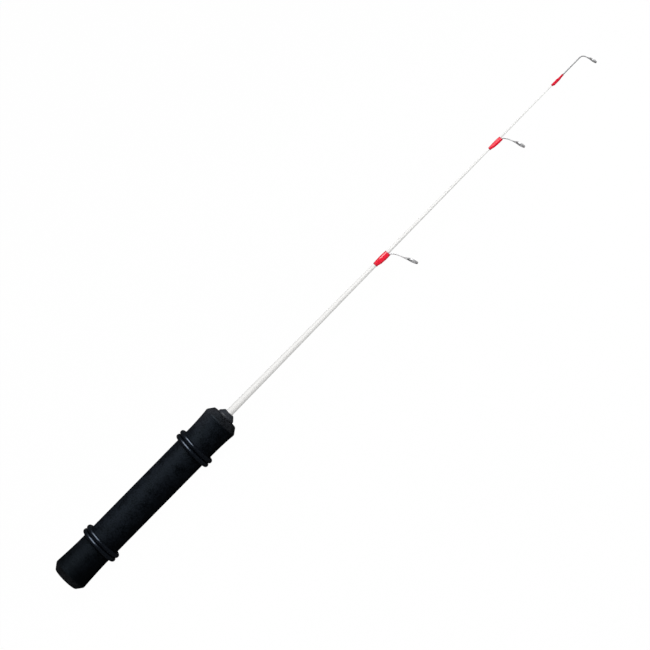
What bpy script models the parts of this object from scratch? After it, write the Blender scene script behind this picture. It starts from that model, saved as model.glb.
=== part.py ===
"""Ice fishing rod: a foam grip with four rubber reel rings, a solid tapered blank and three wire guides.

The rod lies along X, butt to tip, with the origin at the centre of the butt's flat end. It is rolled about
X as it lies on a table: on its rings and its first guide, with the guides towards -Y. It is built with the
guides straight down, under an empty that rolls it. Everything is in metres.
"""

import math

import bmesh
import bpy
from mathutils import Vector
from mathutils.geometry import interpolate_bezier

ROLL = math.radians(-52.88)  # about X, from guides straight down to lying on the rings and the first guide

# Fits
GLUE_GAP = 0.0003  # between the big pieces of the handle
FINE_GAP = 0.0001  # between the small pieces of a guide

# Grip: foam turned to a straight middle that flares towards both ends
GRIP_LENGTH = 0.155
GRIP_R = 0.012
GRIP_END_R = 0.013
BUTT_FACE_R = 0.0096
BUTT_CHAMFER = 0.0046
BUTT_FLARE_START = 0.028
BUTT_FLARE_POWER = 1.6
NOSE_FACE_R = 0.0098
NOSE_CHAMFER = 0.0045
NOSE_FLARE_START = 0.128
NOSE_FLARE_POWER = 2.6
EDGE_ROUND = 0.0006
FLARE_STEPS = 6
BORE_R = 0.005

# Handle core and its plug
CORE_START = 0.012
CORE_END = 0.148
CORE_R = BORE_R - GLUE_GAP
CORE_BORE_R = 0.0030
PLUG_SPIGOT_END = 0.022

# Nose ferrule
FERRULE_BASE_R = 0.0064
FERRULE_BASE_LENGTH = 0.0013
FERRULE_FRONT_R = 0.0038
FERRULE_LENGTH = 0.0043
FERRULE_BORE_R = 0.0030

# Blank: straight inside the handle, then tapered
BLANK_START = 0.050
BLANK_TAPER_START = 0.155
BLANK_END = 0.477
BLANK_R = 0.00265
BLANK_TIP_R = 0.00042
BLANK_TAPER_POWER = 1.35

# O-rings: a round section pressed a little flat by its grip on the foam
RING_HALF_WIDTH = 0.00165
RING_HALF_HEIGHT = 0.00135
RING_INNER_R = 0.01225
RING_LEAN = math.radians(2.2)
RINGS = {
    "o_ring_butt_outer": 0.0329,
    "o_ring_butt_inner": 0.0364,
    "o_ring_nose_inner": 0.1233,
    "o_ring_nose_outer": 0.1269,
}

# Guides: where the sleeve starts and ends, where in it the foot's closed end is, how far below the blank the
# ring's centre hangs, how far ahead of the sleeve it stands, the hoop's outer radius, the ring's lean away
# from square to the blank, the wire's radius, and the sleeve's wall at its ends and what its middle adds
GUIDES = {
    "first_guide": {
        "sleeve": (0.3004, 0.3125),
        "foot": 0.0045,
        "drop": 0.0182,
        "ahead": 0.0077,
        "hoop_r": 0.00395,
        "lean": math.radians(21.5),
        "wire_r": 0.0003,
        "wall": 0.00022,
        "bulge": 0.00026,
    },
    "second_guide": {
        "sleeve": (0.4108, 0.4218),
        "foot": 0.0040,
        "drop": 0.0146,
        "ahead": 0.0056,
        "hoop_r": 0.00345,
        "lean": math.radians(15.6),
        "wire_r": 0.00028,
        "wall": 0.00026,
        "bulge": 0.00020,
    },
    "tip_guide": {
        "sleeve": (0.4712, 0.4820),
        "foot": 0.0018,
        "drop": 0.0092,
        "ahead": 0.0206,
        "hoop_r": 0.0026,
        "lean": math.radians(12.0),
        "wire_r": 0.00025,
        "wall": 0.0002,
        "bulge": 0.0,
    },
}
SLEEVE_LAG = 0.0004  # how far past the blank's end the tip sleeve keeps its width
WIRE_PITCH_GAP = 0.0001  # between the two wires of a hairpin
TOE_ROOM = 1.5  # how far the foot's closed end reaches past its turn's centre, in wire radii
HEEL_RISE = 0.0003  # how far the foot stands off the blank at its heel and at the sleeve's front end
FRONT_RISE = 0.0005
FOOT_HEEL = 0.66  # the heel's place, as a share of the sleeve's length
SLEEVE_BULGE_SHIFT = 1.2  # over 1, the sleeve is thickest ahead of its middle
YOKE_DROP = 0.56  # where the legs part, as shares of the drop
YOKE_AHEAD = 0.258
LEG_SWEEP = (0.205, 0.33)  # the leg's bend, ahead and down, as shares of the drop
LEG_START_REACH = 0.0012
WELD_ANGLE = math.radians(62)  # from the hoop's top to the end of a leg
TIP_STEM_Z = -0.00025  # the stem's height against the blank's axis
TIP_STEM_END = 0.016  # from the sleeve's front end to the bend
TIP_BEND_CORNER = 0.0180
TIP_BEND_FALL = (0.0190, 0.0018)  # ahead of the sleeve and down
TIP_YOKE = (0.0194, 0.0040)
STEM_RISE_START = 0.0048  # before the sleeve's front end, where the wires leave the blank's underside
STEM_RISE_END = 0.0014

# Hoop and insert: the hoop is a thin band, the insert a rounded ring in it
HOOP_WALL = 0.0004
HOOP_HALF_WIDTH = 0.0005
INSERT_WALL = 0.0008
INSERT_HALF_WIDTH = 0.00055

# Facets
GRIP_SEGMENTS = 48
CORE_SEGMENTS = 32
RING_SEGMENTS = 48
RING_SECTION = 8
BLANK_SEGMENTS = 16
BLANK_STATIONS = 12
HOOP_SEGMENTS = 32
INSERT_SECTION = 6
SLEEVE_SEGMENTS = 32
SLEEVE_STEPS = 7
LEG_STEPS = 7
TURN_DEGREES = (-60, -30, 0, 30, 60)
WIRE_BEVEL = 2
WELD_DIST = 1e-6
SMOOTH_ANGLE = math.radians(35)

COLOURS = {
    "foam_black": ((0.012, 0.014, 0.018), 0.85, 0.0),
    "ferrule_black": ((0.03, 0.032, 0.037), 0.5, 0.0),
    "core_grey": ((0.25, 0.25, 0.26), 0.6, 0.0),
    "ring_rubber": ((0.006, 0.006, 0.008), 0.25, 0.0),
    "blank_white": ((0.86, 0.86, 0.84), 0.3, 0.0),
    "sleeve_red": ((0.72, 0.01, 0.035), 0.2, 0.0),
    "wire_steel": ((0.6, 0.6, 0.61), 0.25, 1.0),
    "hoop_steel": ((0.3, 0.3, 0.31), 0.3, 1.0),
    "insert_grey": ((0.12, 0.12, 0.13), 0.15, 0.0),
}


def clear_scene():
    for obj in list(bpy.data.objects):
        bpy.data.objects.remove(obj, do_unlink=True)


def make_materials():
    """One Principled material for each finish."""
    made = {}
    for name, (colour, roughness, metallic) in COLOURS.items():
        finish = bpy.data.materials.new(name)
        finish.use_nodes = True
        shader = finish.node_tree.nodes["Principled BSDF"]
        shader.inputs["Base Color"].default_value = (*colour, 1.0)
        shader.inputs["Roughness"].default_value = roughness
        shader.inputs["Metallic"].default_value = metallic
        made[name] = finish
    return made


def add_object(name, data, parent, finish=None):
    """An object with this mesh or curve, or an empty. Its finish is added to data that has none yet."""
    if finish:
        data.materials.append(finish)
    obj = bpy.data.objects.new(name, data)
    obj.parent = parent
    bpy.context.scene.collection.objects.link(obj)
    return obj


def mesh_from(name, bm):
    """A smooth-shaded mesh of the bmesh, with its crisp edges kept sharp."""
    bmesh.ops.remove_doubles(bm, verts=bm.verts, dist=WELD_DIST)
    bmesh.ops.recalc_face_normals(bm, faces=bm.faces)
    mesh = bpy.data.meshes.new(name)
    bm.to_mesh(mesh)
    bm.free()
    mesh.shade_smooth()
    mesh.set_sharp_from_angle(angle=SMOOTH_ANGLE)
    return mesh


def turned_mesh(name, outline, segments, closed=True):
    """The outline of (x, radius) turned about X. An outline that isn't closed starts and ends on the axis."""
    bm = bmesh.new()
    verts = [bm.verts.new((x, 0, r)) for x, r in outline]
    edges = [bm.edges.new(pair) for pair in zip(verts, verts[1:])]
    if closed:
        edges.append(bm.edges.new((verts[-1], verts[0])))
    bmesh.ops.spin(
        bm,
        geom=verts + edges,
        cent=(0, 0, 0),
        axis=(1, 0, 0),
        angle=math.tau,
        steps=segments,
        use_merge=True,
    )
    return mesh_from(name, bm)


def rounded_corner(before, corner, after, radius, steps=3):
    """Points of a fillet-like curve that cuts the corner off at this distance from it."""
    corner = Vector(corner)
    start = corner + (Vector(before) - corner).normalized() * radius
    end = corner + (Vector(after) - corner).normalized() * radius
    points = []
    for i in range(steps + 1):
        t = i / steps
        points.append(tuple(start * (1 - t) ** 2 + corner * 2 * t * (1 - t) + end * t * t))
    return points


def butt_flare_r(x):
    share = (BUTT_FLARE_START - x) / (BUTT_FLARE_START - BUTT_CHAMFER)
    return GRIP_R + (GRIP_END_R - GRIP_R) * share**BUTT_FLARE_POWER


def nose_flare_r(x):
    flare_end = GRIP_LENGTH - NOSE_CHAMFER
    share = (x - NOSE_FLARE_START) / (flare_end - NOSE_FLARE_START)
    return GRIP_R + (GRIP_END_R - GRIP_R) * share**NOSE_FLARE_POWER


def grip_outline():
    """The grip's outside from the butt face to the nose face, then back along the bore."""
    flare_end = GRIP_LENGTH - NOSE_CHAMFER
    butt_edge = (BUTT_CHAMFER, GRIP_END_R)
    nose_edge = (flare_end, GRIP_END_R)
    butt_step = (BUTT_FLARE_START - BUTT_CHAMFER) / FLARE_STEPS
    nose_step = (flare_end - NOSE_FLARE_START) / FLARE_STEPS
    butt_xs = [BUTT_CHAMFER + butt_step * i for i in range(1, FLARE_STEPS + 1)]
    nose_xs = [NOSE_FLARE_START + nose_step * i for i in range(FLARE_STEPS)]
    butt_curve = [(x, butt_flare_r(x)) for x in butt_xs]
    nose_curve = [(x, nose_flare_r(x)) for x in nose_xs]
    outline = [(0, BORE_R), (0, BUTT_FACE_R)]
    outline += rounded_corner((0, BUTT_FACE_R), butt_edge, butt_curve[0], EDGE_ROUND)
    outline += butt_curve + nose_curve
    outline += rounded_corner(nose_curve[-1], nose_edge, (GRIP_LENGTH, NOSE_FACE_R), EDGE_ROUND, 2)
    outline += [(GRIP_LENGTH, NOSE_FACE_R), (GRIP_LENGTH, BORE_R)]
    return outline


def blank_r(x):
    if x <= BLANK_TAPER_START:
        return BLANK_R
    left = max(0.0, (BLANK_END - x) / (BLANK_END - BLANK_TAPER_START))
    return BLANK_TIP_R + (BLANK_R - BLANK_TIP_R) * left**BLANK_TAPER_POWER


def make_handle(rod, finishes):
    """Foam grip, its core tube, the butt plug and the nose ferrule."""
    black = finishes["ferrule_black"]
    grip = turned_mesh("grip_foam", grip_outline(), GRIP_SEGMENTS)
    add_object("grip_foam", grip, rod, finishes["foam_black"])

    core = [(CORE_START, CORE_BORE_R), (CORE_START, CORE_R), (CORE_END, CORE_R), (CORE_END, CORE_BORE_R)]
    tube = turned_mesh("handle_core_tube", core, CORE_SEGMENTS)
    add_object("handle_core_tube", tube, rod, finishes["core_grey"])

    shoulder = CORE_START - GLUE_GAP
    spigot_r = CORE_BORE_R - GLUE_GAP
    plug = [(0, 0), (0, CORE_R), (shoulder, CORE_R), (shoulder, spigot_r)]
    plug += [(PLUG_SPIGOT_END, spigot_r), (PLUG_SPIGOT_END, 0)]
    add_object("butt_plug", turned_mesh("butt_plug", plug, CORE_SEGMENTS, closed=False), rod, black)

    back = GRIP_LENGTH + GLUE_GAP
    front = back + FERRULE_LENGTH - GLUE_GAP
    tail = CORE_END + GLUE_GAP
    ferrule = [(tail, FERRULE_BORE_R), (tail, CORE_R), (back, CORE_R), (back, FERRULE_BASE_R)]
    ferrule += [(back + FERRULE_BASE_LENGTH, FERRULE_BASE_R)]
    ferrule += [(front, FERRULE_FRONT_R), (front, FERRULE_BORE_R)]
    add_object("nose_ferrule", turned_mesh("nose_ferrule", ferrule, CORE_SEGMENTS), rod, black)


def make_blank(rod, finishes):
    step = (BLANK_END - BLANK_TAPER_START) / BLANK_STATIONS
    taper_xs = [BLANK_TAPER_START + step * i for i in range(BLANK_STATIONS + 1)]
    outline = [(BLANK_START, 0), (BLANK_START, BLANK_R)]
    outline += [(x, blank_r(x)) for x in taper_xs]
    outline += [(BLANK_END, 0)]
    blank = turned_mesh("rod_blank", outline, BLANK_SEGMENTS, closed=False)
    add_object("rod_blank", blank, rod, finishes["blank_white"])


def ellipse_outline(half_width, half_height, centre_r, points):
    turns = [math.tau * i / points for i in range(points)]
    return [(half_width * math.cos(a), centre_r + half_height * math.sin(a)) for a in turns]


def make_o_rings(rod, finishes):
    """Four rings that share one mesh, each with its origin on the grip's axis."""
    centre_r = RING_INNER_R + RING_HALF_HEIGHT
    outline = ellipse_outline(RING_HALF_WIDTH, RING_HALF_HEIGHT, centre_r, RING_SECTION)
    mesh = turned_mesh("o_ring", outline, RING_SEGMENTS)
    mesh.materials.append(finishes["ring_rubber"])
    for name, x in RINGS.items():
        ring = add_object(name, mesh, rod)
        ring.location = (x, 0, 0)
        ring.rotation_euler = (0, RING_LEAN, 0)


def wire_half_pitch(guide):
    return guide["wire_r"] + WIRE_PITCH_GAP / 2


def foot_toe(guide):
    """Where the foot's closed end comes to, with room for the wire's own thickness."""
    return guide["sleeve"][0] + guide["foot"] - TOE_ROOM * guide["wire_r"]


def foot_z(guide, x, rise=0.0):
    """The height of the hairpin's wires where they lie side by side under the blank."""
    reach = blank_r(x) + FINE_GAP + rise + guide["wire_r"]
    return -math.sqrt(reach**2 - wire_half_pitch(guide) ** 2)


def ring_frame(guide):
    """The hoop's centre, its direction away from the blank, and its outer radius."""
    centre = Vector((guide["sleeve"][1] + guide["ahead"], 0, -guide["drop"]))
    down = Vector((math.sin(guide["lean"]), 0, -math.cos(guide["lean"])))
    return centre, down


def bezier(start, start_handle, end_handle, end, steps):
    return interpolate_bezier(Vector(start), Vector(start_handle), Vector(end_handle), Vector(end), steps + 1)


def leg_to_hoop(guide, yoke, heading):
    """From the yoke the leg spreads and runs into the hoop's rim along its tangent."""
    centre, down = ring_frame(guide)
    side = Vector((0, 1, 0))
    rim_r = guide["hoop_r"] + FINE_GAP + guide["wire_r"]
    weld = centre - down * rim_r * math.cos(WELD_ANGLE) + side * rim_r * math.sin(WELD_ANGLE)
    tangent = down * math.sin(WELD_ANGLE) + side * math.cos(WELD_ANGLE)
    reach = (weld - Vector(yoke)).length / 3
    return bezier(yoke, Vector(yoke) + heading * reach, weld - tangent * reach, weld, LEG_STEPS)


def side_guide_wire(guide):
    """One half of the hairpin, from the foot's closed end to the hoop."""
    start, front = guide["sleeve"]
    y = wire_half_pitch(guide)
    heel = start + (front - start) * FOOT_HEEL
    toe = start + guide["foot"]
    leave = front - FINE_GAP
    drop = guide["drop"]
    sweep = Vector((front + LEG_SWEEP[0] * drop, y, -LEG_SWEEP[1] * drop))
    yoke = Vector((front + YOKE_AHEAD * drop, y, -YOKE_DROP * drop))
    foot = [Vector((toe + y, y, foot_z(guide, toe))), Vector((heel, y, foot_z(guide, heel, HEEL_RISE)))]
    away = Vector((leave, y, foot_z(guide, leave, FRONT_RISE)))
    away_handle = away + Vector((LEG_START_REACH, 0, 0))
    legs = bezier(away, away_handle, sweep, yoke, LEG_STEPS)
    return foot + legs + leg_to_hoop(guide, yoke, (yoke - sweep).normalized())[1:]


def tip_guide_wire(guide):
    """As on a side guide, but the wires rise near the blank's axis past its end and bend down further on."""
    start, front = guide["sleeve"]
    y = wire_half_pitch(guide)
    toe = start + guide["foot"]
    low = Vector((front - STEM_RISE_START, y, foot_z(guide, front - STEM_RISE_START)))
    high = Vector((front - STEM_RISE_END, y, TIP_STEM_Z))
    third = Vector(((high.x - low.x) / 3, 0, 0))
    bend = Vector((front + TIP_STEM_END, y, TIP_STEM_Z))
    yoke = Vector((front + TIP_YOKE[0], y, -TIP_YOKE[1]))
    corner = Vector((front + TIP_BEND_CORNER, y, TIP_STEM_Z))
    fall = Vector((front + TIP_BEND_FALL[0], y, -TIP_BEND_FALL[1]))
    wire = [Vector((toe + y, y, foot_z(guide, toe)))]
    wire += bezier(low, low + third, high - third, high, LEG_STEPS // 2)
    wire += bezier(bend, corner, fall, yoke, LEG_STEPS)
    return wire + leg_to_hoop(guide, yoke, (yoke - fall).normalized())[1:]


def hairpin(half):
    """The whole wire: in along one side, round the foot's closed end, out along the other."""
    turn_centre = Vector((half[0].x, 0, half[0].z))
    radius = half[0].y
    around = []
    for degrees in TURN_DEGREES:
        a = math.radians(degrees)
        around.append(turn_centre + Vector((-radius * math.cos(a), radius * math.sin(a), 0)))
    mirrored = [Vector((p.x, -p.y, p.z)) for p in reversed(half)]
    return mirrored + around + list(half)


def wire_curve(name, points, radius):
    curve = bpy.data.curves.new(name, "CURVE")
    curve.dimensions = "3D"
    curve.bevel_depth = radius
    curve.bevel_resolution = WIRE_BEVEL
    curve.use_fill_caps = True
    spline = curve.splines.new("POLY")
    spline.points.add(len(points) - 1)
    for spot, point in zip(spline.points, points):
        spot.co = (*point, 1.0)
    return curve


def hull_outline(circles, grow, segments):
    """The convex outline round circles of (y, z, radius), each grown by grow, a point in each direction."""
    outline = []
    for i in range(segments):
        a = math.tau * i / segments
        ny, nz = math.cos(a), math.sin(a)
        y, z, r = max(circles, key=lambda c: c[0] * ny + c[1] * nz + c[2])
        outline.append((y + ny * (r + grow), z + nz * (r + grow)))
    return outline


def sleeve_stations(guide):
    """Where the sleeve's sections are: its ends, where the foot begins, the blank's end, and even steps."""
    start, end = guide["sleeve"]
    foot = foot_toe(guide)
    step = (end - foot) / SLEEVE_STEPS
    stations = [start] + [foot + step * i for i in range(SLEEVE_STEPS)] + [end]
    if end > BLANK_END:
        stations.append(BLANK_END + SLEEVE_LAG)
    return sorted(stations)


def sleeve_contents(guide, wire, x):
    """The circles that the sleeve wraps at x: the blank and, where they are, the two wires."""
    circles = []
    if x <= BLANK_END + SLEEVE_LAG:
        circles.append((0.0, 0.0, blank_r(x)))
    if x >= foot_toe(guide):
        ahead = [i for i, p in enumerate(wire) if p.x > x] or [len(wire) - 1]
        b = wire[ahead[0]]
        a = wire[max(ahead[0] - 1, 0)]
        share = (x - a.x) / (b.x - a.x) if b.x > a.x else 0.0
        z = a.z + (b.z - a.z) * min(1.0, max(0.0, share))
        circles += [(side * a.y, z, guide["wire_r"]) for side in (-1, 1)]
    return circles


def sleeve_wall(guide, x):
    start, end = guide["sleeve"]
    share = (x - start) / (end - start)
    return guide["wall"] + guide["bulge"] * math.sin(math.pi * share**SLEEVE_BULGE_SHIFT)


def sleeve_mesh(name, guide, wire):
    """A shrunk tube: outside and bore both follow what is inside it, with flat-cut ends."""
    bm = bmesh.new()
    skins = []
    for outside in (True, False):
        loops = []
        for x in sleeve_stations(guide):
            grow = FINE_GAP + (sleeve_wall(guide, x) if outside else 0.0)
            outline = hull_outline(sleeve_contents(guide, wire, x), grow, SLEEVE_SEGMENTS)
            loops.append([bm.verts.new((x, y, z)) for y, z in outline])
        skins.append(loops)
    outer, inner = skins
    strips = list(zip(outer, outer[1:])) + list(zip(inner, inner[1:]))
    strips += [(outer[0], inner[0]), (outer[-1], inner[-1])]
    for a, b in strips:
        for i in range(SLEEVE_SEGMENTS):
            j = (i + 1) % SLEEVE_SEGMENTS
            bm.faces.new((a[i], a[j], b[j], b[i]))
    return mesh_from(name, bm)


def make_guide(name, guide, rod, finishes):
    """Red sleeve, wire frame, hoop and ring insert, all under one empty at the sleeve's front end."""
    base = add_object(name, None, rod)
    base.location = (guide["sleeve"][1], 0, 0)
    to_base = Vector((-guide["sleeve"][1], 0, 0))

    on_tip = guide["sleeve"][1] > BLANK_END
    wire = tip_guide_wire(guide) if on_tip else side_guide_wire(guide)
    frame_points = [p + to_base for p in hairpin(wire)]
    frame = wire_curve(name + "_frame", frame_points, guide["wire_r"])
    add_object(name + "_frame", frame, base, finishes["wire_steel"])

    shrunk = sleeve_mesh(name + "_sleeve", guide, wire)
    sleeve = add_object(name + "_sleeve", shrunk, base, finishes["sleeve_red"])
    sleeve.location = to_base

    centre, _ = ring_frame(guide)
    hoop_bore = guide["hoop_r"] - HOOP_WALL
    band = [(-HOOP_HALF_WIDTH, hoop_bore), (-HOOP_HALF_WIDTH, guide["hoop_r"])]
    band += [(HOOP_HALF_WIDTH, guide["hoop_r"]), (HOOP_HALF_WIDTH, hoop_bore)]
    insert_r = hoop_bore - FINE_GAP
    half_wall = INSERT_WALL / 2
    lining = ellipse_outline(INSERT_HALF_WIDTH, half_wall, insert_r - half_wall, INSERT_SECTION)
    for part, outline, finish in (("_hoop", band, "hoop_steel"), ("_insert", lining, "insert_grey")):
        turned = turned_mesh(name + part, outline, HOOP_SEGMENTS)
        ring = add_object(name + part, turned, base, finishes[finish])
        ring.location = centre + to_base
        ring.rotation_euler = (0, -guide["lean"], 0)


def main():
    clear_scene()
    finishes = make_materials()
    rod = add_object("rod", None, None)
    rod.rotation_euler = (ROLL, 0, 0)
    make_handle(rod, finishes)
    make_blank(rod, finishes)
    make_o_rings(rod, finishes)
    for name, guide in GUIDES.items():
        make_guide(name, guide, rod, finishes)


main()
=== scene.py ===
import math

import bpy
import numpy as np
from mathutils import Matrix, Vector, noise
from mathutils.geometry import interpolate_bezier


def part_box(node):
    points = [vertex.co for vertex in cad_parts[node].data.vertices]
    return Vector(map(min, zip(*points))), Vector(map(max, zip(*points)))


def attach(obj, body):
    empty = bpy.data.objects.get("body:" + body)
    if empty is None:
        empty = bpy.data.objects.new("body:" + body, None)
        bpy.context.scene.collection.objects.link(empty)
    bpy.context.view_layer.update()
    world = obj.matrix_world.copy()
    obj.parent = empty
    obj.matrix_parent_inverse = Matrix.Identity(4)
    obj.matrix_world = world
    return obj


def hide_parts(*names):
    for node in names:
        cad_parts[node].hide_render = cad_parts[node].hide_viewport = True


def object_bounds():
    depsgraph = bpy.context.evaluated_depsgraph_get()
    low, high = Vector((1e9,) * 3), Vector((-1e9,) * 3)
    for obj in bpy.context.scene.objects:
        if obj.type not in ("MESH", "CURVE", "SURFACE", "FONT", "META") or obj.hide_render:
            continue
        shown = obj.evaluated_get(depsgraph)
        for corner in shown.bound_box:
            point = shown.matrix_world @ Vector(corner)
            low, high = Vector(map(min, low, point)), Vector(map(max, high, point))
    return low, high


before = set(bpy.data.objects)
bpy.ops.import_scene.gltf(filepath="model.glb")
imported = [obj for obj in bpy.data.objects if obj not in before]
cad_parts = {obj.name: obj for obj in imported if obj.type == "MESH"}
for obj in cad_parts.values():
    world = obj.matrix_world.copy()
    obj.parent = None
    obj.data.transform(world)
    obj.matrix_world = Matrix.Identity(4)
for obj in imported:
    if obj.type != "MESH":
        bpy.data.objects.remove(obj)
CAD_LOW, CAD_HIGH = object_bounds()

# Everything on the rod is made in the rod's own frame: X from butt to tip, the guides straight down. ROD
# rolls that frame to the way the rod lies.


def middle(node):
    low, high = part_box(node)
    return (low + high) / 2


def span(node):
    """Where the node starts and ends along the rod."""
    low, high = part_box(node)
    return low.x, high.x


FIRST_RING = middle("first_guide_hoop")
ROLL = math.atan2(FIRST_RING.y, -FIRST_RING.z)
ROD = Matrix.Rotation(ROLL, 4, "X")

GRIP_START, GRIP_END = span("grip_foam")
BLANK_START, BLANK_END = span("rod_blank")

# Grip
GRIP_R = 0.012
GRIP_END_R = 0.013
BUTT_FACE_R = 0.0096
BUTT_CHAMFER = 0.0046
BUTT_FLARE_START = 0.028
BUTT_FLARE_POWER = 1.6
NOSE_FACE_R = 0.0098
NOSE_CHAMFER = 0.0045
NOSE_FLARE_START = 0.128
NOSE_FLARE_POWER = 2.6
BORE_R = 0.005

# Plug: its head's length and dish, and its spigot inside the core
PLUG_R = 0.0047
PLUG_FACE_SETBACK = 0.0001
PLUG_HEAD = 0.0117
PLUG_DISH = 0.0006
PLUG_DISH_R = 0.0033
PLUG_RIM_R = 0.0038
PLUG_DIMPLE = 0.0009
PLUG_DIMPLE_R = (0.0011, 0.0014)
SPIGOT_R = 0.0027

# Ferrule: its spigot, its collar against the foam, and its cone down to the blank
FERRULE_GAP = 0.0001
FERRULE_SPIGOT_R = 0.0046
FERRULE_BORE_R = 0.003
FERRULE_LIP_R = 0.0029
COLLAR_R = 0.0064
COLLAR_LENGTH = 0.0013
CONE_END_R = 0.0038

# Blank
BLANK_REAR_EDGE = ((0.0, 0.0022), (0.0001, 0.0026))
BLANK_R = 0.00265
BLANK_TIP_R = 0.00042
BLANK_TAPER_POWER = 1.35

# O-rings
RING_HALF_WIDTH = 0.00165
RING_INNER_R = 0.01203
FLARE_RING_INNER_R = 0.01209  # of the ring that slides onto the start of the nose's flare
RING_OUTER_R = 0.01494
RING_LEAN = math.radians(2.2)

# Guides: from the sleeve's start to the foot's closed end, the ring's outer radius and lean, the wire's
# radius and the sleeve's wall at its ends
GUIDES = {
    "first": {"foot": 0.0045, "hoop_r": 0.00395, "lean": 21.5, "wire_r": 0.0003, "wall": 0.00022},
    "second": {"foot": 0.004, "hoop_r": 0.00345, "lean": 15.6, "wire_r": 0.00028, "wall": 0.00026},
    "tip": {"foot": 0.0018, "hoop_r": 0.0026, "lean": 12.0, "wire_r": 0.00025, "wall": 0.0002},
}
# What the sleeve's middle adds to its wall, its coat, its shine and the share of painted shade on its
# red, and how pale the wire's steel is
LOOKS = {
    "first": {"bulge": 0.00026, "coat": 0.9, "shine": 0.5, "shade_depth": 0.0, "steel": 0.82},
    "second": {"bulge": 0.0002, "coat": 0.25, "shine": 0.14, "shade_depth": 0.1, "steel": 0.62},
    "tip": {"bulge": 0.0, "coat": 0.05, "shine": 0.06, "shade_depth": 0.4, "steel": 0.38},
}
FINE_GAP = 0.0001  # between the blank, the wires and the sleeve
WIRE_PITCH_GAP = 0.0001  # between a guide's two wires

# Sleeves
BULGE_SHIFT = 1.2  # above 1, the thickest place lies ahead of the middle
SLEEVE_LAG = 0.0004  # how far past the blank's end the tube keeps its shape
RIPPLE = 0.000012

# Wires under a sleeve: where the heel lies, as a share of the sleeve, and how far the wires have risen
# off the blank at the heel and at the front
FOOT_HEEL = 0.66
HEEL_RISE = 0.0003
FRONT_RISE = 0.0005

# Legs of the two side guides, ahead of the sleeve and below the axis as shares of the ring's drop. The
# yoke is where the two wires part, and the weld is measured round the ring from its top.
LEG_START_REACH = 0.0012  # in metres, how far it first runs on level
LEG_SWEEP = (0.205, 0.33)
YOKE = (0.258, 0.56)
WELD_ANGLE = math.radians(62)

# Tip guide's stem and bend, in metres ahead of the sleeve and below the axis
STEM_RISE_START = 0.0048
STEM_RISE_END = 0.0014
TIP_STEM_Z = -0.00025
TIP_STEM_END = 0.016
TIP_BEND_CORNER = 0.018
TIP_BEND_FALL = (0.019, 0.0018)
TIP_YOKE = (0.0194, 0.004)

# Rings: a grooved steel band round a ceramic lining
HOOP_WALL = 0.0004
HOOP_HALF_WIDTH = 0.0005
HOOP_GROOVE = 0.00008
INSERT_WALL = 0.0008
INSERT_HALF_WIDTH = 0.00055

DOWN = ROD.to_3x3() @ Vector((0, 0, -1))  # where the guides point


# Shader graphs

class Graph:
    """A material's node graph with short ways to add what these finishes need."""

    def __init__(self, name, **sockets):
        self.material = bpy.data.materials.new(name)
        self.material.use_nodes = True
        self.tree = self.material.node_tree
        self.shader = self.tree.nodes["Principled BSDF"]
        for key, value in sockets.items():
            self.shader.inputs[key.replace("_", " ")].default_value = value
        self.coords = self.tree.nodes.new("ShaderNodeTexCoord").outputs["Object"]

    def link(self, value, socket):
        if isinstance(value, bpy.types.NodeSocket):
            self.tree.links.new(value, socket)
        else:
            socket.default_value = value

    def stretched(self, along, across):
        """Coordinates scaled differently along the rod and across it."""
        node = self.tree.nodes.new("ShaderNodeVectorMath")
        node.operation = "MULTIPLY"
        self.link(self.coords, node.inputs[0])
        node.inputs[1].default_value = (along, across, across)
        return node.outputs[0]

    def noise(self, scale, detail, rough=0.55, coords=None):
        node = self.tree.nodes.new("ShaderNodeTexNoise")
        self.link(coords or self.coords, node.inputs["Vector"])
        node.inputs["Scale"].default_value = scale
        node.inputs["Detail"].default_value = detail
        node.inputs["Roughness"].default_value = rough
        return node.outputs["Fac"]

    def cells(self, scale):
        node = self.tree.nodes.new("ShaderNodeTexVoronoi")
        self.link(self.coords, node.inputs["Vector"])
        node.inputs["Scale"].default_value = scale
        return node.outputs["Distance"]

    def spread(self, value, low, high, to_low=0.0, to_high=1.0):
        node = self.tree.nodes.new("ShaderNodeMapRange")
        self.link(value, node.inputs["Value"])
        for key, number in zip(("From Min", "From Max", "To Min", "To Max"), (low, high, to_low, to_high)):
            node.inputs[key].default_value = number
        return node.outputs["Result"]

    def maths(self, operation, a, b):
        node = self.tree.nodes.new("ShaderNodeMath")
        node.operation = operation
        self.link(a, node.inputs[0])
        self.link(b, node.inputs[1])
        return node.outputs[0]

    def mix(self, share, a, b):
        node = self.tree.nodes.new("ShaderNodeMix")
        node.data_type = "RGBA"
        self.link(share, node.inputs["Factor"])
        for value, socket in ((a, node.inputs[6]), (b, node.inputs[7])):
            self.link(value if isinstance(value, bpy.types.NodeSocket) else (*value, 1.0), socket)
        return node.outputs[2]

    def towards(self, direction):
        """How far the place lies in a direction from the butt's centre, in metres."""
        node = self.tree.nodes.new("ShaderNodeVectorMath")
        node.operation = "DOT_PRODUCT"
        self.link(self.coords, node.inputs[0])
        node.inputs[1].default_value = direction
        return node.outputs["Value"]

    def edges(self, low, high):
        """0 on flat ground and in hollows, up to 1 on convex edges."""
        geometry = self.tree.nodes.new("ShaderNodeNewGeometry")
        return self.spread(geometry.outputs["Pointiness"], low, high)

    def bump(self, height, distance, strength, below=None):
        node = self.tree.nodes.new("ShaderNodeBump")
        self.link(height, node.inputs["Height"])
        node.inputs["Distance"].default_value = distance
        node.inputs["Strength"].default_value = strength
        if below is not None:
            self.link(below, node.inputs["Normal"])
        return node.outputs["Normal"]

    def finish(self, colour, rough=None, normal=None):
        for value, key in ((colour, "Base Color"), (rough, "Roughness"), (normal, "Normal")):
            if value is not None:
                self.link(value, self.shader.inputs[key])
        return self.material


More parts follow.
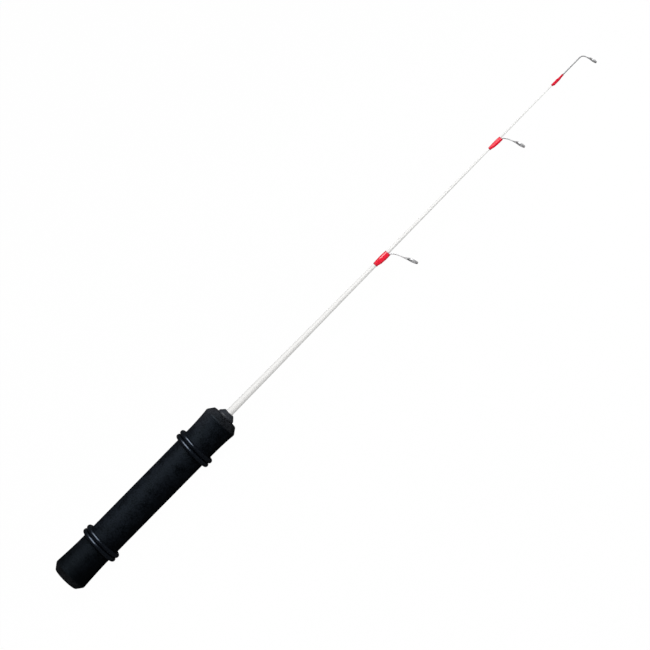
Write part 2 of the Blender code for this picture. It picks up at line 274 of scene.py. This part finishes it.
def foam_finish():
    """Sanded closed-cell foam: mottled and paler at its cut ends, with painted shade at the butt and below
    and a painted highlight on top near its nose.
    """
    # Near-black painted on as shade at the butt end and on the lower side
    painted_shade = (0.0002, 0.0003, 0.0007)
    g = Graph("foam_black", Specular_IOR_Level=0.22, Specular_Tint=(0.62, 0.82, 1.0, 1.0))
    patches = g.noise(170, 4, 0.6)
    grain = g.noise(900, 4, 0.75)
    cells = g.cells(2400)
    share = g.maths("ADD", g.spread(patches, 0.4, 0.6, 0.0, 0.4), g.spread(grain, 0.42, 0.58, 0.0, 0.6))
    colour = g.mix(share, (0.0001, 0.0002, 0.0006), (0.0082, 0.0104, 0.016))
    along = g.towards((1, 0, 0))
    top = g.towards(-DOWN)
    # Painted shade: darker towards the butt end, and on the lower side below the axis
    colour = g.mix(g.spread(along, 0.01, 0.045, 0.85, 0.0), colour, painted_shade)
    colour = g.mix(g.spread(top, -0.012, 0.0, 0.65, 0.0), colour, painted_shade)
    # Painted highlight: a paler, patchy sheen on the upper side near the nose, where the lamp light falls
    nose = g.spread(along, GRIP_END - 0.024, GRIP_END - 0.006)
    nose = g.maths("MULTIPLY", nose, g.spread(top, -0.002, 0.013))
    nose = g.maths("MULTIPLY", nose, g.spread(share, 0.0, 0.8, 0.4, 0.85))
    colour = g.mix(nose, colour, (0.042, 0.043, 0.051))
    butt_cut = g.spread(along, 0.0058, 0.0036)
    nose_cut = g.spread(along, GRIP_END - 0.0052, GRIP_END - 0.004)
    cut = g.maths("MULTIPLY", g.maths("ADD", butt_cut, nose_cut), g.spread(share, 0.0, 1.0, 0.1, 0.4))
    colour = g.mix(cut, colour, (0.034, 0.033, 0.035))
    pits = g.spread(cells, 0.0, 0.35)
    colour = g.mix(pits, (0.0007, 0.0009, 0.0014), colour)
    rough = g.spread(g.maths("ADD", patches, grain), 0.75, 1.25, 0.36, 0.76)
    low = g.bump(g.noise(520, 4), 0.0002, 0.8)
    fine = g.bump(g.maths("ADD", pits, g.spread(grain, 0.2, 0.8, 0, 0.5)), 0.00006, 0.7, low)
    return g.finish(colour, rough, fine)


def rubber_finish():
    """Glossy nitrile rubber with a faint bloom."""
    g = Graph(
        "ring_rubber",
        Specular_IOR_Level=1.0,
        Specular_Tint=(0.62, 0.77, 1.0, 1.0),
        Coat_Weight=0.25,
        Coat_Roughness=0.12,
    )
    bloom = g.noise(500, 4)
    colour = g.mix(g.spread(bloom, 0.4, 0.75), (0.0011, 0.0018, 0.0034), (0.0026, 0.0038, 0.0062))
    rough = g.spread(bloom, 0.3, 0.8, 0.26, 0.36)
    return g.finish(colour, rough, g.bump(g.noise(1500, 2), 0.00001, 0.5))


def ferrule_finish():
    """Satin moulded plastic, with fine turning rings and paler edges."""
    g = Graph("ferrule_black")
    rings = g.noise(1.0, 2, 0.5, g.stretched(9000, 60))
    wear = g.edges(0.52, 0.62)
    colour = g.mix(g.spread(g.noise(700, 3), 0.3, 0.7), (0.021, 0.024, 0.03), (0.032, 0.036, 0.045))
    colour = g.mix(wear, colour, (0.075, 0.08, 0.092))
    rough = g.spread(rings, 0.3, 0.7, 0.36, 0.52)
    return g.finish(colour, rough, g.bump(rings, 0.000012, 0.6))


def blank_finish():
    """White lacquer over solid glass fibre: long faint fibre streaks and an even gloss."""
    g = Graph("blank_white", Specular_IOR_Level=0.35, Coat_Weight=0.12, Coat_Roughness=0.2)
    streaks = g.noise(1.0, 4, 0.6, g.stretched(25, 2600))
    clouds = g.noise(60, 3)
    colour = g.mix(g.spread(streaks, 0.35, 0.7), (0.865, 0.86, 0.845), (0.885, 0.882, 0.87))
    colour = g.mix(g.spread(clouds, 0.45, 0.8, 0.0, 0.4), colour, (0.85, 0.842, 0.82))
    rough = g.spread(streaks, 0.3, 0.7, 0.36, 0.46)
    return g.finish(colour, rough, g.bump(streaks, 0.000006, 0.3))


def sleeve_finish(name, guide):
    """Red shrink tube: glossy, with tiny ripples round it, darker towards both ends and with painted shade
    on its middle.
    """
    start, front = guide["start"], guide["front"]
    dark_end_length = 0.0011
    g = Graph(name, Coat_Weight=guide["coat"], Coat_Roughness=0.03, Specular_IOR_Level=guide["shine"])
    ripples = g.noise(1.0, 3, 0.5, g.stretched(500, 160))
    clouds = g.noise(450, 3)
    colour = g.mix(g.spread(clouds, 0.3, 0.7), (0.84, 0.008, 0.032), (0.95, 0.014, 0.046))
    along = g.towards((1, 0, 0))
    back_end = g.spread(along, start, start + dark_end_length, 1.0, 0.0)
    ends = g.maths("ADD", back_end, g.spread(along, front - dark_end_length, front))
    # Painted shade darkens the tube's middle by the guide's share; towards both ends the red darkens
    # further
    shade_depth = g.spread(ends, 0.0, 1.0, guide["shade_depth"], 0.85)
    colour = g.mix(shade_depth, colour, (0.4, 0.001, 0.026))
    rough = g.spread(ripples, 0.3, 0.7, 0.14, 0.22)
    return g.finish(colour, rough, g.bump(ripples, 0.000006, 0.12))


def steel_finish(name, metallic, dark, light, low, high, dark_top_span=None):
    """Satin stainless steel. Given two depths, it is darker at its top, nearest the rod, fading out
    between them.
    """
    g = Graph(name, Metallic=metallic)
    lines = g.noise(2400, 3)
    clouds = g.noise(700, 3)
    colour = g.mix(g.spread(clouds, 0.35, 0.7), dark, light)
    if dark_top_span:
        # Darker at the top, nearest the rod, fading out between the two depths
        colour = g.mix(g.spread(g.towards(DOWN), *dark_top_span, 0.8, 0.0), colour, (0.12, 0.115, 0.11))
    rough = g.spread(lines, 0.3, 0.7, low, high)
    return g.finish(colour, rough, g.bump(lines, 0.000008, 0.5))


def ceramic_finish():
    """Polished grey ceramic with a fine sintered speckle."""
    g = Graph("insert_grey", Coat_Weight=0.6, Coat_Roughness=0.03)
    specks = g.cells(9000)
    colour = g.mix(g.spread(specks, 0.1, 0.6), (0.24, 0.242, 0.248), (0.36, 0.363, 0.37))
    rough = g.spread(g.noise(2500, 2), 0.3, 0.7, 0.08, 0.2)
    return g.finish(colour, rough)


def core_finish():
    """Wound composite tube."""
    g = Graph("core_grey")
    turns = g.noise(1.0, 3, 0.5, g.stretched(1400, 90))
    colour = g.mix(g.spread(turns, 0.3, 0.7), (0.18, 0.18, 0.19), (0.3, 0.3, 0.31))
    return g.finish(colour, g.spread(turns, 0.3, 0.7, 0.5, 0.7), g.bump(turns, 0.00003, 0.5))


FINISHES = {
    "foam_black": foam_finish(),
    "ring_rubber": rubber_finish(),
    "ferrule_black": ferrule_finish(),
    "blank_white": blank_finish(),
    "insert_grey": ceramic_finish(),
    "core_grey": core_finish(),
}


# Shapes

def signed_volume(points, faces):
    total = 0.0
    for face in faces:
        a = points[face[0]]
        for b, c in zip(face[1:], face[2:]):
            total += np.dot(a, np.cross(points[b], points[c]))
    return total


def loft(name, loops, sharp, cyclic=False):
    """A closed mesh through loops of points. Unless it is cyclic, its ends close on their middles.

    Edges bent by more than sharp, in degrees, stay crisp.
    """
    count = len(loops[0])
    points = [np.asarray(p, float) for loop in loops for p in loop]
    faces = []
    pairs = [(k, k + 1) for k in range(len(loops) - 1)]
    if cyclic:
        pairs.append((len(loops) - 1, 0))
    for a, b in pairs:
        for j in range(count):
            i = (j + 1) % count
            faces.append((a * count + j, a * count + i, b * count + i, b * count + j))
    if not cyclic:
        for k, order in ((0, -1), (len(loops) - 1, 1)):
            pole = len(points)
            points.append(np.mean(np.asarray(loops[k], float), axis=0))
            for j in range(count):
                i = (j + 1) % count
                faces.append((k * count + j, k * count + i, pole)[::order])
    if signed_volume(points, faces) < 0:
        faces = [face[::-1] for face in faces]
    mesh = bpy.data.meshes.new(name)
    mesh.from_pydata([tuple(p) for p in points], [], faces)
    mesh.shade_smooth()
    mesh.set_sharp_from_angle(angle=math.radians(sharp))
    return mesh


def filleted(corners, steps=5):
    """Points of an outline whose corners (x, r, cut) are rounded off at the distance cut."""
    points = []
    count = len(corners)
    for k, (x, r, cut) in enumerate(corners):
        corner = Vector((x, r))
        if not cut:
            points.append(corner)
            continue
        before = Vector(corners[k - 1][:2])
        after = Vector(corners[(k + 1) % count][:2])
        a = corner + (before - corner).normalized() * cut
        b = corner + (after - corner).normalized() * cut
        for i in range(steps + 1):
            t = i / steps
            points.append(a * (1 - t) ** 2 + corner * 2 * t * (1 - t) + b * t * t)
    return points


def refined(points, step, cyclic=True):
    """The same outline with no span longer than step."""
    result = []
    pairs = list(zip(points, points[1:] + points[:1])) if cyclic else list(zip(points, points[1:]))
    for a, b in pairs:
        parts = max(1, math.ceil((b - a).length / step))
        result += [a.lerp(b, i / parts) for i in range(parts)]
    if not cyclic:
        result.append(points[-1])
    return result


def turned(name, outline, segments, cyclic=True, wobble=None, sharp=40):
    """The outline of (x, r) turned about the rod's axis. wobble(x, angle) is added to the radius."""
    loops = []
    for x, r in outline:
        loop = []
        for j in range(segments):
            a = math.tau * j / segments
            here = r + (wobble(x, a) if wobble else 0.0)
            loop.append((x, here * math.sin(a), here * math.cos(a)))
        loops.append(loop)
    return loft(name, loops, sharp, cyclic)


def put(name, mesh, body, slot, *nodes, finish=None):
    """The piece on its CAD body, in the place of these CAD nodes. Its finish is its slot's, or its own."""
    mesh.materials.append(FINISHES[finish or slot])
    mesh.transform(ROD)
    piece = bpy.data.objects.new(name, mesh)
    bpy.context.scene.collection.objects.link(piece)
    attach(piece, body)
    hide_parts(*nodes)
    return piece


def arc_outline(half_width, half_height, centre_r, points, shape=1.0):
    """A rounded section: an ellipse at shape 1, squarer below it."""
    outline = []
    for i in range(points):
        a = math.tau * i / points
        c, s = math.cos(a), math.sin(a)
        x = math.copysign(abs(c) ** shape, c) * half_width
        r = math.copysign(abs(s) ** shape, s) * half_height
        outline.append(Vector((x, centre_r + r)))
    return outline


# Handle

def make_grip():
    nose_edge = GRIP_END - NOSE_CHAMFER
    steps = 24
    corners = [(GRIP_START, BORE_R, 0.0002), (GRIP_START, BUTT_FACE_R, 0.0007)]
    corners.append((BUTT_CHAMFER, GRIP_END_R, 0.0009))
    for i in range(1, steps + 1):
        share = 1 - i / steps
        x = BUTT_FLARE_START + (BUTT_CHAMFER - BUTT_FLARE_START) * share
        corners.append((x, GRIP_R + (GRIP_END_R - GRIP_R) * share**BUTT_FLARE_POWER, 0))
    for i in range(steps):
        share = i / steps
        x = NOSE_FLARE_START + (nose_edge - NOSE_FLARE_START) * share
        corners.append((x, GRIP_R + (GRIP_END_R - GRIP_R) * share**NOSE_FLARE_POWER, 0))
    corners.append((nose_edge, GRIP_END_R, 0.0007))
    corners += [(GRIP_END, NOSE_FACE_R, 0.0006), (GRIP_END, BORE_R, 0.0002)]
    outline = refined(filleted(corners), 0.0012)

    def wobble(x, a):
        """The sanded surface waves gently, a little under its full size."""
        at = Vector((x * 60, math.cos(a) * 0.9, math.sin(a) * 0.9))
        return -0.00003 + 0.000045 * noise.noise(at)

    mesh = turned("foam_grip", outline, 160, wobble=wobble, sharp=60)
    put("foam_grip", mesh, "rod", "foam_black", "grip_foam")


def make_plug():
    start, end = span("butt_plug")
    face = start + PLUG_FACE_SETBACK
    head = start + PLUG_HEAD
    corners = [
        (start + PLUG_DIMPLE, 0.0, 0),
        (start + PLUG_DIMPLE, PLUG_DIMPLE_R[0], 0.0002),
        (start + PLUG_DISH, PLUG_DIMPLE_R[1], 0.0002),
        (start + PLUG_DISH, PLUG_DISH_R, 0.0002),
        (face, PLUG_RIM_R, 0.0003),
        (face, PLUG_R, 0.0005),
        (head, PLUG_R, 0),
        (head, SPIGOT_R, 0),
        (end, SPIGOT_R, 0.0003),
        (end, 0.0, 0),
    ]
    outline = refined(filleted(corners), 0.002, cyclic=False)
    outline[0].y = outline[-1].y = 0.0002  # small end loops, which loft closes on the axis
    mesh = turned("butt_end_plug", outline, 96, cyclic=False)
    put("butt_end_plug", mesh, "rod", "ferrule_black", "butt_plug")


def make_ferrule():
    start, end = span("nose_ferrule")
    back = GRIP_END + FERRULE_GAP
    corners = [
        (start, FERRULE_BORE_R, 0),
        (start, FERRULE_SPIGOT_R, 0),
        (back, FERRULE_SPIGOT_R, 0),
        (back, COLLAR_R, 0.0002),
        (back + COLLAR_LENGTH, COLLAR_R, 0.0004),
        (end, CONE_END_R, 0.0004),
        (end, FERRULE_LIP_R, 0.0001),
    ]
    mesh = turned("nose_ferrule_cone", refined(filleted(corners), 0.0008), 128)
    put("nose_ferrule_cone", mesh, "rod", "ferrule_black", "nose_ferrule")


def blank_r(x):
    """Even inside the grip, then tapering to the tip."""
    if x <= GRIP_END:
        return BLANK_R
    left = max(0.0, (BLANK_END - x) / (BLANK_END - GRIP_END))
    return BLANK_TIP_R + (BLANK_R - BLANK_TIP_R) * left**BLANK_TAPER_POWER


def make_blank():
    xs = np.linspace(BLANK_START + 0.0004, BLANK_END - 0.0002, 240)
    outline = [Vector((BLANK_START + x, r)) for x, r in BLANK_REAR_EDGE]
    outline += [Vector((x, blank_r(x))) for x in xs]
    outline += [Vector((BLANK_END, BLANK_TIP_R * 0.7))]

    def wobble(x, a):
        """The lacquer waves very slightly, never past the turned size."""
        return 0.000012 * noise.noise(Vector((x * 90, math.cos(a) * 0.6, math.sin(a) * 0.6))) - 0.000012

    mesh = turned("glass_blank", outline, 64, cyclic=False, wobble=wobble)
    put("glass_blank", mesh, "rod", "blank_white", "rod_blank")


def make_o_rings():
    for node, body, inner_r in (
        ("o_ring_butt_outer", "butt_outer_ring", RING_INNER_R),
        ("o_ring_butt_inner", "butt_inner_ring", RING_INNER_R),
        ("o_ring_nose_inner", "nose_inner_ring", RING_INNER_R),
        ("o_ring_nose_outer", "nose_outer_ring", FLARE_RING_INNER_R),
    ):
        half = (RING_OUTER_R - inner_r) / 2
        outline = arc_outline(RING_HALF_WIDTH, half, inner_r + half, 48)
        mesh = turned(node, outline, 192, sharp=80)
        mesh.transform(Matrix.Rotation(RING_LEAN, 4, "Y"))
        mesh.transform(Matrix.Translation((middle(node).x, 0, 0)))
        put(node.replace("o_ring", "rubber_ring"), mesh, body, "ring_rubber", node)


# Guides

def read_guide(name):
    """The guide's sizes, with its sleeve's ends and its ring's centre as packed."""
    guide = {**GUIDES[name], **LOOKS[name]}
    guide["start"], guide["front"] = span(name + "_guide_sleeve")
    ring = middle(name + "_guide_hoop")
    guide["ring"] = Vector((ring.x, 0, -math.hypot(ring.y, ring.z)))
    guide["drop"] = -guide["ring"].z
    lean = math.radians(guide["lean"])
    guide["down"] = Vector((math.sin(lean), 0, -math.cos(lean)))
    guide["y"] = guide["wire_r"] + WIRE_PITCH_GAP / 2
    return guide


def foot_z(guide, x, rise=0.0):
    """The height of the two wires at x, lying on the blank or this much off it."""
    reach = blank_r(x) + FINE_GAP + rise + guide["wire_r"]
    return -math.sqrt(reach**2 - guide["y"] ** 2)


def bezier(a, b, c, d, steps):
    return interpolate_bezier(Vector(a), Vector(b), Vector(c), Vector(d), steps + 1)


def leg_to_hoop(guide, yoke, heading):
    """From the yoke the leg spreads and runs into the hoop's rim along its tangent."""
    side = Vector((0, 1, 0))
    rim_r = guide["hoop_r"] + guide["wire_r"] * 0.8
    c, s = math.cos(WELD_ANGLE), math.sin(WELD_ANGLE)
    weld = guide["ring"] - guide["down"] * rim_r * c + side * rim_r * s
    tangent = guide["down"] * s + side * c
    reach = (weld - yoke).length / 3
    return bezier(yoke, yoke + heading * reach, weld - tangent * reach, weld, 20)


def side_guide_wire(guide):
    """One half of the hairpin, from the foot's closed end to the hoop."""
    start, front, drop, y = (guide[key] for key in ("start", "front", "drop", "y"))
    toe = start + guide["foot"]
    heel = start + (front - start) * FOOT_HEEL
    leave = front - FINE_GAP
    sweep = Vector((front + LEG_SWEEP[0] * drop, y, -LEG_SWEEP[1] * drop))
    yoke = Vector((front + YOKE[0] * drop, y, -YOKE[1] * drop))
    foot = [Vector((toe + y, y, foot_z(guide, toe))), Vector((heel, y, foot_z(guide, heel, HEEL_RISE)))]
    away = Vector((leave, y, foot_z(guide, leave, FRONT_RISE)))
    legs = bezier(away, away + Vector((LEG_START_REACH, 0, 0)), sweep, yoke, 24)
    return foot + legs + leg_to_hoop(guide, yoke, (yoke - sweep).normalized())[1:]


def tip_guide_wire(guide):
    """The wires rise near the blank's axis past its end and bend down further on."""
    start, front, y = (guide[key] for key in ("start", "front", "y"))
    toe = start + guide["foot"]
    low = Vector((front - STEM_RISE_START, y, foot_z(guide, front - STEM_RISE_START)))
    high = Vector((front - STEM_RISE_END, y, TIP_STEM_Z))
    third = Vector(((high.x - low.x) / 3, 0, 0))
    bend = Vector((front + TIP_STEM_END, y, TIP_STEM_Z))
    corner = Vector((front + TIP_BEND_CORNER, y, TIP_STEM_Z))
    fall = Vector((front + TIP_BEND_FALL[0], y, -TIP_BEND_FALL[1]))
    yoke = Vector((front + TIP_YOKE[0], y, -TIP_YOKE[1]))
    wire = [Vector((toe + y, y, foot_z(guide, toe)))]
    wire += bezier(low, low + third, high - third, high, 12)
    wire += bezier(bend, corner, fall, yoke, 24)
    return wire + leg_to_hoop(guide, yoke, (yoke - fall).normalized())[1:]


def hairpin(half):
    """The whole wire: in along one side, round the foot's closed end, out along the other."""
    centre = Vector((half[0].x, 0, half[0].z))
    radius = half[0].y
    around = []
    for degrees in range(-75, 76, 15):
        a = math.radians(degrees)
        around.append(centre + Vector((-radius * math.cos(a), radius * math.sin(a), 0)))
    mirrored = [Vector((p.x, -p.y, p.z)) for p in reversed(half)]
    return mirrored + around + list(half)


def spaced(points, step):
    """Points at most step apart on the same path."""
    result = []
    for a, b in zip(points, points[1:]):
        parts = max(1, math.ceil((b - a).length / step))
        result += [a.lerp(b, i / parts) for i in range(parts)]
    return result + [points[-1]]


def swept(name, points, radius, swell=1.35, sides=20):
    """A round wire along the points, thickened into its solder at both ends."""
    lengths = [0.0]
    for a, b in zip(points, points[1:]):
        lengths.append(lengths[-1] + (b - a).length)
    total = lengths[-1]
    tangents = []
    for i in range(len(points)):
        a, b = points[max(i - 1, 0)], points[min(i + 1, len(points) - 1)]
        tangents.append((b - a).normalized())
    normal = tangents[0].orthogonal().normalized()
    dome = (0.35, 0.75, 0.95)
    loops = []

    def ring(centre, tangent, r):
        side = tangent.cross(normal)
        turns = [math.tau * j / sides for j in range(sides)]
        return [centre + (normal * math.cos(a) + side * math.sin(a)) * r for a in turns]

    def thick(at):
        near = min(at, total - at)
        return radius * (1 + (swell - 1) * math.exp(-((near / (radius * 4)) ** 2)))

    for point, tangent, at in zip(points, tangents, lengths):
        normal = (normal - tangent * normal.dot(tangent)).normalized()
        r = thick(at)
        if at == 0:
            for share in dome:
                loops.append(ring(point - tangent * r * 0.8 * math.sqrt(1 - share**2), tangent, r * share))
        loops.append(ring(point, tangent, r))
        if at == total:
            for share in dome[::-1]:
                loops.append(ring(point + tangent * r * 0.8 * math.sqrt(1 - share**2), tangent, r * share))
    return loft(name, loops, 70)


def hull_loop(x, circles, grow, segments):
    """The convex outline at x round circles of (y, z, radius), each grown by grow."""
    loop = []
    for i in range(segments):
        a = math.tau * i / segments
        ny, nz = math.cos(a), math.sin(a)
        y, z, r = max(circles, key=lambda c: c[0] * ny + c[1] * nz + c[2])
        loop.append((x, y + ny * (r + grow), z + nz * (r + grow)))
    return loop


def smooth(t):
    """0 to 1 with a gentle start and end."""
    t = min(1.0, max(0.0, t))
    return t * t * (3 - 2 * t)


def sleeve_contents(guide, wire, x):
    """What the tube wraps at x: the blank, and the wires, which come out of it gradually."""
    circles = [(0.0, 0.0, blank_r(x) if x < BLANK_END + SLEEVE_LAG else 0.0002)]
    ahead = [i for i, p in enumerate(wire) if p.x > x] or [len(wire) - 1]
    b = wire[ahead[0]]
    a = wire[max(ahead[0] - 1, 0)]
    share = (x - a.x) / (b.x - a.x) if b.x > a.x else 0.0
    z = a.z + (b.z - a.z) * min(1.0, max(0.0, share))
    toe = guide["start"] + guide["foot"]
    rise = smooth((x - guide["start"] - 0.0002) / (toe - guide["start"] - 0.0002))
    buried = -(blank_r(x) - guide["wire_r"]) * 0.97
    z = buried + (z - buried) * rise
    circles += [(side * guide["y"] * (0.4 + 0.6 * rise), z, guide["wire_r"]) for side in (-1, 1)]
    return circles


def sleeve_mesh(name, guide, wire):
    """A shrunk tube with wall and bore, rounded lips and small ripples."""
    start, front = guide["start"], guide["front"]
    segments, stations = 96, 72
    wall = guide["wall"]
    lip = wall * 0.5
    xs = np.linspace(start + lip, front - lip, stations)
    inner_grow = FINE_GAP * 0.5
    outer_grow = FINE_GAP + wall

    def rippled(x, grow):
        share = min(1.0, max(0.0, (x - start) / (front - start)))
        bulge = guide["bulge"] * math.sin(math.pi * share**BULGE_SHIFT)
        grow += bulge * (grow - inner_grow) / (outer_grow - inner_grow)
        loop = hull_loop(x, sleeve_contents(guide, wire, x), grow, segments)
        result = []
        for j, (px, y, z) in enumerate(loop):
            a = math.tau * j / segments
            at = Vector((x * 260, math.cos(a) * 1.3, math.sin(a) * 1.3 + 5 * wall))
            ripple = RIPPLE * noise.noise(at)
            ripple -= RIPPLE / 2
            result.append((px, y + math.cos(a) * ripple, z + math.sin(a) * ripple))
        return result

    middle_grow = (inner_grow + outer_grow) / 2
    half = (outer_grow - inner_grow) / 2
    loops = [rippled(x, outer_grow) for x in xs]
    for k in range(1, 8):
        a = math.pi / 2 - math.pi * k / 8
        loops.append(rippled(front - lip + lip * math.cos(a), middle_grow + half * math.sin(a)))
    loops += [rippled(x, inner_grow) for x in xs[::-1]]
    for k in range(1, 8):
        a = -math.pi / 2 + math.pi * k / 8
        loops.append(rippled(start + lip - lip * math.cos(a), middle_grow + half * math.sin(a)))
    return loft(name, loops, 60, cyclic=True)


def ring_mesh(name, guide, outline, sharp=50):
    mesh = turned(name, outline, 128, sharp=sharp)
    mesh.transform(Matrix.Rotation(-math.radians(guide["lean"]), 4, "Y"))
    mesh.transform(Matrix.Translation(guide["ring"]))
    return mesh


def make_guide(name):
    guide = read_guide(name)
    node = name + "_guide_"
    wire = tip_guide_wire(guide) if guide["front"] > BLANK_END else side_guide_wire(guide)
    tone = guide["steel"]
    dark, light = (tone - 0.06, tone - 0.06, tone - 0.05), (tone + 0.06, tone + 0.06, tone + 0.07)
    FINISHES["wire_" + name] = steel_finish("wire_" + name, 0.4, dark, light, 0.3, 0.42)
    bent = swept(node, spaced(hairpin(wire), 0.0004), guide["wire_r"])
    put("wire_frame_" + name, bent, "rod", "wire_steel", node + "frame", finish="wire_" + name)
    FINISHES["sleeve_" + name] = sleeve_finish("sleeve_" + name, guide)
    sleeve = sleeve_mesh(node, guide, wire)
    put("red_sleeve_" + name, sleeve, "rod", "sleeve_red", node + "sleeve", finish="sleeve_" + name)

    rim = guide["hoop_r"]
    bore = rim - HOOP_WALL
    w = HOOP_HALF_WIDTH
    band = [
        (-w, bore, 0.0001),
        (-w, rim, 0.00015),
        (-w * 0.5, rim - HOOP_GROOVE, 0.0001),
        (w * 0.5, rim - HOOP_GROOVE, 0.0001),
        (w, rim, 0.00015),
        (w, bore, 0.0001),
    ]
    height = rim * math.cos(math.radians(guide["lean"]))
    # Depths between which the hoop's darker top fades out
    dark_top_span = (guide["drop"] - height * 0.8, guide["drop"] + height * 0.1)
    dark, light = (0.7, 0.7, 0.71), (0.84, 0.84, 0.85)
    FINISHES["hoop_" + name] = steel_finish("hoop_" + name, 0.5, dark, light, 0.34, 0.46, dark_top_span)
    hoop = ring_mesh(node, guide, filleted(band))
    put("ring_hoop_" + name, hoop, "rod", "hoop_steel", node + "hoop", finish="hoop_" + name)

    half_wall = INSERT_WALL / 2
    lining = arc_outline(INSERT_HALF_WIDTH, half_wall, bore - half_wall, 28, 0.8)
    put("ring_insert_" + name, ring_mesh(node, guide, lining, 80), "rod", "insert_grey", node + "insert")


make_grip()
make_plug()
make_ferrule()
make_blank()
make_o_rings()
for guide_name in GUIDES:
    make_guide(guide_name)

core_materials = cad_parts["handle_core_tube"].data.materials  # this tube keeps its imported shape
core_materials.clear()
core_materials.append(FINISHES["core_grey"])


# Floor, light and camera

CAMERA_ELEVATION = math.radians(25.8)
CAMERA_DISTANCE = 1.743
CAMERA_FOOT = 0.275  # the point of the rod's axis that the camera stands square to
AIM = (0.2475, 0.0044)  # along the rod, and off its axis towards the guides
AXIS_ANGLE = math.radians(45.44)  # of the rod in the picture, rising to the right
LENS = 141.98

# From the rod to the camera, and up as the camera sees it across the rod
OUT = Vector((0, -math.cos(CAMERA_ELEVATION), math.sin(CAMERA_ELEVATION)))
UP = Vector((0, math.sin(CAMERA_ELEVATION), math.cos(CAMERA_ELEVATION)))


def make_camera():
    data = bpy.data.cameras.new("camera")
    data.lens = LENS
    data.clip_start, data.clip_end = 0.05, 60
    camera = bpy.data.objects.new("camera", data)
    bpy.context.scene.collection.objects.link(camera)
    bpy.context.scene.camera = camera
    place = Vector((CAMERA_FOOT, 0, 0)) + OUT * CAMERA_DISTANCE
    target = Vector((AIM[0], 0, 0)) - UP * AIM[1]
    back = (place - target).normalized()
    rod = Vector((1, 0, 0))
    rod = (rod - back * rod.dot(back)).normalized()
    across = back.cross(rod)
    c, s = math.cos(AXIS_ANGLE), math.sin(AXIS_ANGLE)
    right = rod * c - across * s
    up = rod * s + across * c
    turn = Matrix((right, up, back)).transposed().to_4x4()
    camera.matrix_world = Matrix.Translation(place) @ turn


# The camera sees a glowing white floor and white surroundings. As light on the rod both are dimmer, and
# in its reflections dimmer still.
FLOOR_GLOW = 0.99
FLOOR_BOUNCE = (0.68, 0.68, 0.68)
FLOOR_GLOSS = (0.05, 0.05, 0.05)
SURROUNDINGS = 0.24
GLOSS_SURROUNDINGS = 0.04

# Lamps: degrees above the camera, share of the distance towards the tip, size along and across the rod,
# and power
LAMPS = {
    "key": (47, 0.35, (0.8, 1.3), 15.5),
    "fill": (-10, 0.2, (2.6, 2.4), 9.0),
}
LAMP_DISTANCE = 1.3
LAMP_AIM = Vector((0.2, 0, 0))


def make_floor():
    size = 12.0
    z = CAD_LOW.z
    mesh = bpy.data.meshes.new("floor")
    corners = [(-size, -size, z), (size, -size, z), (size, size, z), (-size, size, z)]
    mesh.from_pydata(corners, [], [(0, 1, 2, 3)])
    floor = bpy.data.objects.new("floor", mesh)
    bpy.context.scene.collection.objects.link(floor)
    g = Graph("floor_white", Roughness=0.9, Specular_IOR_Level=0.1, Emission_Color=(1, 1, 1, 1))
    rays = g.tree.nodes.new("ShaderNodeLightPath").outputs
    seen, bounced = rays["Is Camera Ray"], rays["Is Diffuse Ray"]
    unlit = g.mix(g.noise(3, 2), (0.0, 0.0, 0.0), (0.01, 0.01, 0.01))
    g.finish(g.mix(seen, g.mix(bounced, FLOOR_GLOSS, FLOOR_BOUNCE), unlit))
    g.link(g.maths("MULTIPLY", seen, FLOOR_GLOW), g.shader.inputs["Emission Strength"])
    mesh.materials.append(g.material)


def area_light(name, place, target, size, power):
    """A rectangular lamp aimed at the target, with its first side along the rod."""
    data = bpy.data.lights.new(name, "AREA")
    data.shape = "RECTANGLE"
    data.size, data.size_y = size
    data.energy = power
    lamp = bpy.data.objects.new(name, data)
    bpy.context.scene.collection.objects.link(lamp)
    back = (place - target).normalized()
    side = Vector((1, 0, 0))
    side = (side - back * side.dot(back)).normalized()
    turn = Matrix((side, back.cross(side), back)).transposed().to_4x4()
    lamp.matrix_world = Matrix.Translation(place) @ turn
    return lamp


def make_light():
    world = bpy.data.worlds.new("studio")
    bpy.context.scene.world = world
    world.use_nodes = True
    tree = world.node_tree
    background = tree.nodes["Background"]
    background.inputs["Color"].default_value = (1, 1, 1, 1)
    path = tree.nodes.new("ShaderNodeLightPath")
    gloss = tree.nodes.new("ShaderNodeMapRange")
    tree.links.new(path.outputs["Is Glossy Ray"], gloss.inputs["Value"])
    gloss.inputs["To Min"].default_value = SURROUNDINGS
    gloss.inputs["To Max"].default_value = GLOSS_SURROUNDINGS
    seen = tree.nodes.new("ShaderNodeMapRange")
    tree.links.new(path.outputs["Is Camera Ray"], seen.inputs["Value"])
    tree.links.new(gloss.outputs["Result"], seen.inputs["To Min"])
    seen.inputs["To Max"].default_value = 1.0
    tree.links.new(seen.outputs["Result"], background.inputs["Strength"])
    for name, (degrees, ahead, size, power) in LAMPS.items():
        height = CAMERA_ELEVATION + math.radians(degrees)
        place = LAMP_AIM + Vector((ahead, -math.cos(height), math.sin(height))) * LAMP_DISTANCE
        lamp = area_light(name, place, LAMP_AIM, size, power)
        lamp.visible_glossy = name == "key"
    bpy.context.scene.view_settings.view_transform = "Standard"


make_camera()
make_floor()
make_light()
